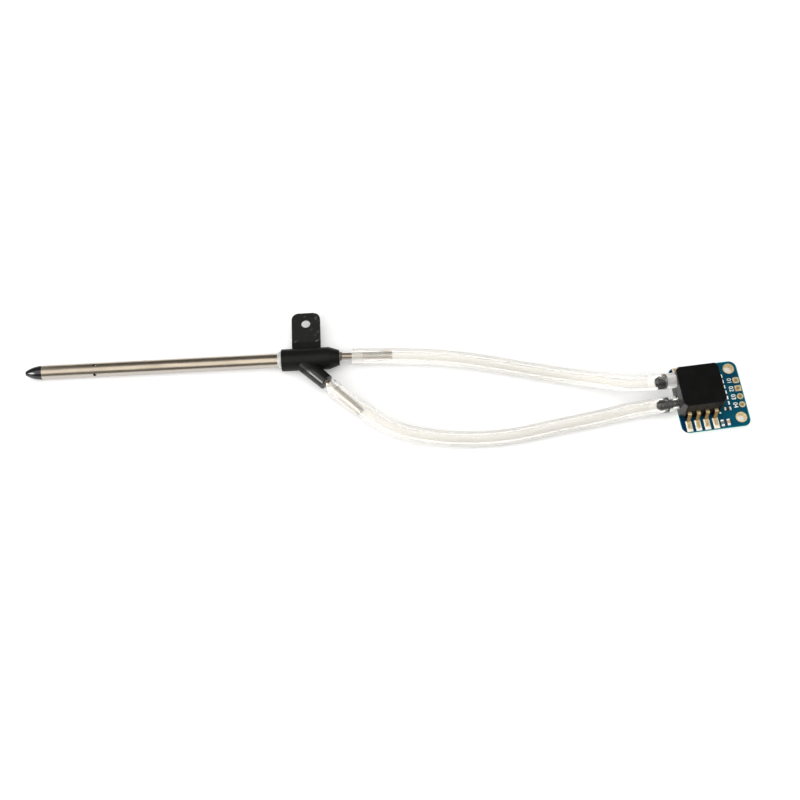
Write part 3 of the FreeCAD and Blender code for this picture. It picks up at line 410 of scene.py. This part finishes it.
def board_finish():
    """Blue lacquer over the weave and the copper tracks, with a paler laminate at the edges."""
    base = tuple(bpy.context.scene.pitot_finishes.board)
    finish = Finish("Blue lacquer", base, 0.30, Specular_IOR_Level=0.08)
    copper, navy, shadow_navy = (0.0, 0.062, 0.102), (0.0, 0.013, 0.048), (0.0, 0.016, 0.062)
    teal, bright_teal, laminate = (0.0, 0.088, 0.120), (0.02, 0.27, 0.30), (0.74, 0.80, 0.76)
    origin, along = board_frame()
    turn = math.atan2(along.y, along.x)
    place = finish.millimetres(centre=tuple(origin), turn=turn)
    tracks = finish.node("ShaderNodeTexBrick", offset=0.5)
    tracks.inputs["Scale"].default_value = 0.42
    tracks.inputs["Mortar Size"].default_value = 0.10
    tracks.inputs["Mortar Smooth"].default_value = 0.4
    tracks.inputs["Color1"].default_value = (0.0, 0.0, 0.0, 1.0)
    tracks.inputs["Color2"].default_value = (0.25, 0.25, 0.25, 1.0)
    tracks.inputs["Mortar"].default_value = (1.0, 1.0, 1.0, 1.0)
    finish.link(place, tracks.inputs["Vector"])
    tracked = finish.blend(tracks.outputs["Color"], base, copper)
    patches = finish.noise(place, 0.16, 2.0)
    toned = finish.blend(finish.ramp(patches, [(0.35, 0.0), (0.65, 0.75)]), tracked, navy)
    inside = finish.parts(finish.millimetres(centre=tuple(middle("circuit_board")), turn=turn))
    header_side = finish.math("MULTIPLY", finish.step(inside["X"], -6.0, 9.0), 0.35)
    # Painted shadow: the board darkens to a deep navy towards the port side, where the sensor package
    # shades it.
    package_shadow = finish.math("MULTIPLY", finish.step(inside["X"], 0.0, -9.0), 0.6)
    toned = finish.blend(header_side, toned, teal)
    toned = finish.blend(package_shadow, toned, shadow_navy)
    edges = [finish.step(finish.math("ABSOLUTE", inside[axis]), begins, full)
             for axis, begins, full in BOARD_RIM]
    rim = finish.math("MULTIPLY", finish.math("MAXIMUM", *edges), 0.75)
    toned = finish.blend(rim, toned, bright_teal)
    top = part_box("circuit_board")[1].z / MM
    walls = finish.step(finish.parts(finish.millimetres())["Z"], top - 0.02, top - 0.06)
    finish.wire("Base Color", finish.blend(walls, toned, laminate))
    weave = finish.noise(place, 6.0, 4.0)
    raised = finish.bump(tracks.outputs["Color"], 0.00003, 0.5)
    finish.wire("Normal", finish.bump(weave, 0.000008, 0.5, below=raised))
    return finish


def sealant_finish(name, base, clear):
    finish = Finish(name, base, 0.25, IOR=1.45, Transmission_Weight=clear)
    place = finish.millimetres()
    lumps = finish.noise(place, 1.2, 3.0)
    finish.wire("Normal", finish.bump(lumps, 0.00012, 0.8))
    finish.wire("Base Color", finish.blend(finish.ramp(finish.noise(place, 0.9), [(0.4, 0.0), (0.7, 1.0)]),
                                           base, tuple(part * 0.75 for part in base)))
    return finish


# ---------------------------------------------------------------- places

def middle(node):
    low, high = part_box(node)
    return (low + high) / 2


def tube_axis():
    """Middle of the static tube and its direction."""
    low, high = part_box("nose_cone")
    tip = (low + high) / 2
    centre = middle("static_tube")
    return centre, (centre - tip).normalized()


def board_frame():
    """First mounting hole, and the direction along the board away from the ports."""
    first, second = middle("mounting_ring_1"), middle("mounting_ring_2")
    across = (first - second).normalized()
    origin = Vector((first.x, first.y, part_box("circuit_board")[1].z))
    return origin, Vector((across.y, -across.x, 0.0))


def on_board(u, v):
    """Point on the board's top, u along and v across from the first mounting hole, in mm."""
    origin, along = board_frame()
    across = Vector((along.y, -along.x, 0.0))
    return origin + along * (u * MM) + across * (v * MM)


def clear_selection():
    bpy.ops.object.select_all(action="DESELECT")


def pick(piece):
    clear_selection()
    piece.select_set(True)
    bpy.context.view_layer.objects.active = piece


def settle(piece, name):
    """Name a piece and put its place into its mesh."""
    piece.name = name
    piece.data.name = name
    pick(piece)
    bpy.ops.object.transform_apply(location=True, rotation=True, scale=True)
    return piece


def join(pieces, name):
    clear_selection()
    for piece in pieces:
        piece.select_set(True)
    bpy.context.view_layer.objects.active = pieces[0]
    bpy.ops.object.join()
    return settle(pieces[0], name)


# ---------------------------------------------------------------- hoses

def route_line(name, route):
    """Points along the smooth line of a route, read from its own spline."""
    curve = bpy.data.curves.new(name + "_line", "CURVE")
    curve.dimensions = "3D"
    curve.resolution_u = 32
    spline = curve.splines.new("NURBS")
    spline.points.add(len(route) - 1)
    for point, place in zip(spline.points, route):
        point.co = (*place, 1.0)
    spline.order_u = 3
    spline.use_endpoint_u = True
    holder = bpy.data.objects.new(name + "_line", curve)
    bpy.context.collection.objects.link(holder)
    mesh = bpy.data.meshes.new_from_object(holder)
    line = [vertex.co.copy() for vertex in mesh.vertices]
    bpy.data.objects.remove(holder)
    bpy.data.curves.remove(curve)
    bpy.data.meshes.remove(mesh)
    return line


def stations_along(line):
    reach = [0.0]
    for here, after in zip(line, line[1:]):
        reach.append(reach[-1] + (after - here).length)
    return reach


def point_at(line, reach, station):
    """Place and direction at a distance along the line."""
    index = 1
    while index < len(line) - 1 and reach[index] < station:
        index += 1
    span = reach[index] - reach[index - 1]
    part = (station - reach[index - 1]) / span
    return line[index - 1].lerp(line[index], part), (line[index] - line[index - 1]).normalized()


def hose_profile(length, port, outside, bore):
    """Rings of the hose as (station, radius): outside from start to end, then the bore back.

    port holds the distances of the barb's parts from the hose's end and their radii.
    """
    edge, count = HOSE_EDGE, HOSE_STEPS
    corner = edge * 0.3
    outer = [(0.0, outside - edge), (corner, outside - corner), (edge, outside)]
    outer += [(edge + (length - 2 * edge) * step / count, outside) for step in range(1, count)]
    outer += [(length - edge, outside), (length - corner, outside - corner),
              (length, outside - edge)]
    inner = [(length, port[0][1])]
    inner += [(length - back, radius) for back, radius in port]
    tip = inner[-1][0]
    inner += [(tip * (1.0 - step / count), bore) for step in range(1, count)]
    inner += [(edge, bore), (0.0, bore + edge * 0.5)]
    return outer, inner


def make_hose(name, route, port, mouth, neck):
    """Hollow hose mesh along its route; mouth and neck are the lengths of the clouded ends."""
    props = bpy.context.scene.pitot_hoses
    line = route_line(name, route)
    reach = stations_along(line)
    length = reach[-1]
    outer, inner = hose_profile(length, port, props.diameter / 2, props.bore / 2)
    rings = outer + inner
    up = Vector((0.0, 0.0, 1.0))
    shape = bmesh.new()
    layer = shape.loops.layers.uv.new("Along")
    loops = []
    for station, radius in rings:
        centre, ahead = point_at(line, reach, station)
        side = ahead.cross(up).normalized()
        top = side.cross(ahead).normalized()
        loops.append([shape.verts.new(centre + (side * math.cos(angle) + top * math.sin(angle)) * radius)
                      for angle in (2 * math.pi * step / props.sides for step in range(props.sides))])
    for number, (station, _) in enumerate(rings):
        following = (number + 1) % len(rings)
        first, second = loops[number], loops[following]
        ends = (station, rings[following][0])
        for step in range(props.sides):
            after = (step + 1) % props.sides
            face = shape.faces.new((first[step], second[step], second[after], first[after]))
            face.smooth = True
            marks = ((ends[0], step), (ends[1], step), (ends[1], step + 1), (ends[0], step + 1))
            for corner, (reached, turn) in zip(face.loops, marks):
                corner[layer].uv = (reached, turn / props.sides * math.pi * props.diameter)
            if station < mouth or station > length - neck:
                face.material_index = CLOUDED
            elif station > length - PORT_SIGHT:
                face.material_index = CLEAR
    bmesh.ops.recalc_face_normals(shape, faces=shape.faces)
    mesh = bpy.data.meshes.new(name)
    shape.to_mesh(mesh)
    shape.free()
    hose = bpy.data.objects.new(name, mesh)
    bpy.context.collection.objects.link(hose)
    for silicone, *_ in SILICONES:
        mesh.materials.append(bpy.data.materials[silicone])
    node = name.replace("soft_", "")
    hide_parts(node)
    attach(hose, "root")


# ---------------------------------------------------------------- operators

class PITOT_OT_camera(Operator):
    """Camera above and in front of the probe"""
    bl_idname = "pitot.camera"
    bl_label = "Camera"

    def execute(self, context):
        data = bpy.data.cameras.new("Camera")
        data.lens = context.scene.pitot_stage.lens
        data.sensor_width = 36.0
        data.clip_start, data.clip_end = 0.01, 10.0
        camera = bpy.data.objects.new("Camera", data)
        place = Vector(CAMERA_PLACE) * MM
        target = Vector(CAMERA_TARGET) * MM
        right = Vector((math.cos(CAMERA_TURN), -math.sin(CAMERA_TURN), 0.0))
        back = (place - target).normalized()
        up = back.cross(right)
        camera.matrix_world = Matrix.Translation(place) @ Matrix((right, up, back)).transposed().to_4x4()
        context.collection.objects.link(camera)
        context.scene.camera = camera
        return {"FINISHED"}


class PITOT_OT_hoses(Operator):
    """Two milky silicone hoses, opened out over the barbed ports"""
    bl_idname = "pitot.hoses"
    bl_label = "Hoses"

    def execute(self, context):
        for silicone in SILICONES:
            silicone_finish(*silicone)
        step = PORT_NECK - PORT_FIT
        port = [(step, NECK_RADIUS), (step, BARB_RADIUS), (PORT_BARB, BARB_RADIUS),
                (PORT_TIP, TIP_RADIUS)]
        make_hose("soft_total_pressure_hose", TOTAL_ROUTE, port, mouth=TOTAL_MOUTH, neck=PORT_NECK)
        make_hose("soft_static_pressure_hose", STATIC_ROUTE, port, mouth=STATIC_MOUTH, neck=0.0)
        return {"FINISHED"}


class PITOT_OT_tubes(Operator):
    """Polished static tube, and the duller inner tube and static nipple"""
    bl_idname = "pitot.tubes"
    bl_label = "Tubes"

    def execute(self, context):
        base = tuple(context.scene.pitot_finishes.steel)
        shade(["static_tube"], steel_finish("Polished steel", base, 0.27, TUBE_SHADE_RADIUS))
        inner = steel_finish("Inner steel", tuple(part * 0.85 for part in base), 0.28)
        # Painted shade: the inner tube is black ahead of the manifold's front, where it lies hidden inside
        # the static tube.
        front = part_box("manifold")[0].x / MM
        behind = inner.step(inner.parts(inner.millimetres())["X"], front, front + INNER_SHADE_FADE)
        inner.wire("Base Color", inner.blend(behind, (0.0, 0.0, 0.0), inner.feeding("Base Color")))
        inner.wire("Metallic", behind)
        inner.wire("Specular IOR Level", behind)
        shade(["total_pressure_tube", "static_nipple"], inner)
        return {"FINISHED"}


class PITOT_OT_nose(Operator):
    """Glossy black nose cone"""
    bl_idname = "pitot.nose"
    bl_label = "Nose Cone"

    def execute(self, context):
        base = tuple(context.scene.pitot_finishes.nose)
        shade(["nose_cone"], plastic_finish("Glossy nose", base, 0.13, 2.5, 0.00001,
                                            Specular_IOR_Level=0.8))
        return {"FINISHED"}


class PITOT_OT_manifold(Operator):
    """Satin black manifold moulding"""
    bl_idname = "pitot.manifold"
    bl_label = "Manifold"

    def execute(self, context):
        base = tuple(context.scene.pitot_finishes.moulding)
        shade(["manifold"], moulding_finish("Satin moulding", base, 0.38))
        return {"FINISHED"}


class PITOT_OT_sealant(Operator):
    """Beads of sealant where the tubes enter the manifold"""
    bl_idname = "pitot.sealant"
    bl_label = "Sealant"

    def execute(self, context):
        shade(["front_sealant_bead"], sealant_finish("White sealant", (0.80, 0.80, 0.76), 0.5))
        shade(["rear_sealant_bead", "branch_sealant_bead"],
              sealant_finish("Dark sealant", (0.42, 0.38, 0.28), 0.75))
        return {"FINISHED"}


class PITOT_OT_board(Operator):
    """Circuit board, plated holes and chip components"""
    bl_idname = "pitot.board"
    bl_label = "Circuit Board"

    def execute(self, context):
        props = context.scene.pitot_finishes
        shade(["circuit_board"], board_finish())
        plated = ["mounting_ring_1", "mounting_ring_2"]
        plated += [f"header_pad_{n}" for n in range(1, HEADER_PADS + 1)]
        shade(plated, plating_finish("Gold plating", tuple(props.gold), 0.34, 0.55))
        shade(["resistor_terminals", "pale_capacitor_terminals", "brown_capacitor_terminals"],
              plating_finish("Tinned ends", tuple(props.solder), 0.30, 0.25))
        for name, base in (("resistor_body", (0.015, 0.015, 0.016)),
                           ("pale_capacitor_body", (0.10, 0.13, 0.12)),
                           ("brown_capacitor_body", (0.36, 0.22, 0.12))):
            shade([name], plastic_finish(name.replace("_", " ").capitalize(), base, 0.40, 4.0, 0.00001))
        return {"FINISHED"}


class PITOT_OT_sensor(Operator):
    """Black package, gold leads and bright solder"""
    bl_idname = "pitot.sensor"
    bl_label = "Pressure Sensor"

    def execute(self, context):
        props = context.scene.pitot_finishes
        black = plastic_finish("Package plastic", tuple(props.package), 0.36, 5.0, 0.000015)
        # Painted sheen: faces turned to the port side (−X) get a higher specular level, so that side shows
        # a brighter reflection than the rest.
        black.wire("Specular IOR Level",
                   black.math("MULTIPLY_ADD", black.facing("X", -0.3, -0.8), 0.75, 0.07))
        shade(["sensor_housing", "sensor_cap"], black)
        shade([f"lead_{n}" for n in range(1, LEADS + 1)],
              plating_finish("Gold leads", tuple(props.gold), 0.32, 0.7, worn=(0.62, 0.42, 0.16),
                             steep_reflection=(0.34, 0.23, 0.09)))
        shade([f"solder_joint_{n}" for n in range(1, LEADS + 1)],
              plating_finish("Solder", tuple(props.solder), 0.24, 0.2, worn=(0.72, 0.58, 0.32)))
        shade(["glass_wafer"], sealant_finish("Wafer glass", (0.80, 0.85, 0.85), 0.9))
        shade(["sensing_die"], plating_finish("Silicon", (0.32, 0.33, 0.37), 0.15))
        shade(["protective_gel"], sealant_finish("Clear gel", (0.85, 0.85, 0.82), 0.9))
        return {"FINISHED"}


class PITOT_OT_printing(Operator):
    """White printing on the board: dashes, a dot and plain numbers beside the header"""
    bl_idname = "pitot.printing"
    bl_label = "Printing"

    def execute(self, context):
        along = board_frame()[1]
        turn = math.atan2(along.y, along.x)
        marks = []
        for number in range(HEADER_PADS):
            place = on_board(NUMBER_LINE, HEADER_FIRST + HEADER_PITCH * number)
            bpy.ops.object.text_add(location=place, rotation=(0.0, 0.0, turn - math.pi / 2))
            text = context.object
            text.data.body = f"0{number + 1}"
            text.data.size = NUMBER_SIZE * MM
            text.data.align_x = "CENTER"
            text.data.align_y = "CENTER"
            text.data.extrude = INK_THICKNESS / 2 * MM
            text.data.offset = 0.005 * MM
            bpy.ops.object.convert(target="MESH")
            marks.append(context.object)
        for number in range(DASHES):
            clear_selection()
            place = on_board(*(first + step * number for first, step in zip(DASH_FIRST, DASH_STEP)))
            bpy.ops.mesh.primitive_cube_add(size=1.0, rotation=(0.0, 0.0, turn), location=place)
            dash = context.object
            dash.scale = Vector((*DASH_SIZE, INK_THICKNESS)) * MM
            marks.append(dash)
        clear_selection()
        bpy.ops.mesh.primitive_cylinder_add(vertices=24, radius=DOT_RADIUS * MM,
                                            depth=INK_THICKNESS * MM, location=on_board(*DOT_PLACE))
        marks.append(context.object)
        for mark in marks:
            pick(mark)
            bpy.ops.object.transform_apply(location=True, rotation=True, scale=True)
        printing = join(marks, "board_printing")
        ink = plastic_finish("White ink", (0.80, 0.80, 0.78), 0.5, 6.0, 0.000006)
        printing.data.materials.clear()
        printing.data.materials.append(ink.material)
        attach(printing, "root")
        return {"FINISHED"}


class PITOT_OT_stage(Operator):
    """Pale floor, overhead softbox, side light and surroundings"""
    bl_idname = "pitot.stage"
    bl_label = "Stage"

    def execute(self, context):
        props = context.scene.pitot_stage
        clear_selection()
        bpy.ops.mesh.primitive_plane_add(size=FLOOR_SIZE, location=(0.0, 0.0, -FLOOR_GAP))
        floor = context.object
        floor.name = "Floor"
        floor.data.materials.append(floor_material())
        add_softbox("Softbox", props.softbox, *SOFTBOX)
        add_softbox("Side light", props.side, *SIDE_LIGHT)
        surroundings(context.scene, props.fill)
        context.scene.view_settings.view_transform = "Standard"
        return {"FINISHED"}


def add_softbox(name, power, place, spread, target):
    """Rectangular light that faces a point."""
    light = bpy.data.lights.new(name, "AREA")
    light.shape = "RECTANGLE"
    light.size, light.size_y = spread
    light.energy = power
    lamp = bpy.data.objects.new(name, light)
    lamp.location = place
    lamp.rotation_euler = (Vector(target) - Vector(place)).to_track_quat("-Z", "Y").to_euler()
    bpy.context.collection.objects.link(lamp)


def floor_material():
    """White ground that takes a shadow.

    It glows by kind of ray and far away, and mirrored rays meet a darker colour beside the probe.
    """
    finish = Finish("Floor", FLOOR_COLOUR, 0.9, Specular_IOR_Level=0.0)
    finish.set("Emission Color", (1.0, 1.0, 1.0, 1.0))
    path = finish.node("ShaderNodeLightPath")
    place = finish.node("ShaderNodeTexCoord").outputs["Object"]
    mirrored = finish.math("SUBTRACT", path.outputs["Is Glossy Ray"], path.outputs["Is Transmission Ray"])
    probe_side = finish.step(finish.parts(place)["X"], *PROBE_SIDE)
    dim = finish.math("MULTIPLY", mirrored, probe_side)
    finish.wire("Base Color", finish.blend(dim, FLOOR_COLOUR, MIRRORED_FLOOR))
    distant = finish.step(finish.length(place), *FLOOR_FAR)
    glow = finish.math("MULTIPLY", distant, path.outputs["Is Camera Ray"])
    for ray, strength in FLOOR_GLOW:
        glow = finish.math("MULTIPLY_ADD", path.outputs[ray], strength, glow)
    finish.wire("Emission Strength", glow)
    return finish.material


def surroundings(scene, fill):
    """White to the eye, a dim room in reflections, and an even fill for all other rays."""
    world = bpy.data.worlds.new("Surroundings")
    scene.world = world
    world.use_nodes = True
    tree = world.node_tree
    path = tree.nodes.new("ShaderNodeLightPath")

    def background(grey):
        made = tree.nodes.new("ShaderNodeBackground")
        made.inputs["Color"].default_value = (grey, grey, grey, 1.0)
        return made

    def mix(ray, others, chosen):
        """One background for a kind of ray, and the others' for the rest."""
        made = tree.nodes.new("ShaderNodeMixShader")
        sources = (path.outputs[ray], others.outputs[0], chosen.outputs[0])
        for socket, source in zip(made.inputs, sources):
            tree.links.new(source, socket)
        return made

    direction = tree.nodes.new("ShaderNodeSeparateXYZ")
    tree.links.new(tree.nodes.new("ShaderNodeTexCoord").outputs["Generated"], direction.inputs[0])
    ramp = tree.nodes.new("ShaderNodeValToRGB")
    elements = ramp.color_ramp.elements
    while len(elements) < len(ROOM):
        elements.new(0.5)
    for element, (position, grey) in zip(elements, ROOM):
        element.position = position
        element.color = (grey, grey, grey, 1.0)
    tree.links.new(direction.outputs["Z"], ramp.inputs["Fac"])
    room = tree.nodes["Background"]
    tree.links.new(ramp.outputs["Color"], room.inputs["Color"])
    room.inputs["Strength"].default_value = 1.0
    lit = mix("Is Glossy Ray", background(fill), room)
    seen = mix("Is Camera Ray", lit, background(1.0))
    tree.links.new(seen.outputs[0], tree.nodes["World Output"].inputs["Surface"])


# ---------------------------------------------------------------- add-on

class PITOT_PT_panel(Panel):
    """Buttons for each group of pieces"""
    bl_label = "Pitot Probe"
    bl_space_type = "VIEW_3D"
    bl_region_type = "UI"
    bl_category = "Pitot Probe"

    def draw(self, context):
        for operator in OPERATORS:
            self.layout.operator(operator.bl_idname)


OPERATORS = [PITOT_OT_camera, PITOT_OT_hoses, PITOT_OT_tubes, PITOT_OT_nose, PITOT_OT_manifold,
             PITOT_OT_sealant, PITOT_OT_board, PITOT_OT_sensor, PITOT_OT_printing, PITOT_OT_stage]
CLASSES = [PitotHoseSettings, PitotFinishSettings, PitotStageSettings, *OPERATORS, PITOT_PT_panel]


def register():
    for made in CLASSES:
        bpy.utils.register_class(made)
    bpy.types.Scene.pitot_hoses = PointerProperty(type=PitotHoseSettings)
    bpy.types.Scene.pitot_finishes = PointerProperty(type=PitotFinishSettings)
    bpy.types.Scene.pitot_stage = PointerProperty(type=PitotStageSettings)


def unregister():
    del bpy.types.Scene.pitot_stage
    del bpy.types.Scene.pitot_finishes
    del bpy.types.Scene.pitot_hoses
    for made in reversed(CLASSES):
        bpy.utils.unregister_class(made)


def main():
    register()
    for operator in OPERATORS:
        group, name = operator.bl_idname.split(".")
        getattr(getattr(bpy.ops, group), name)()


if __name__ == "__main__":
    main()
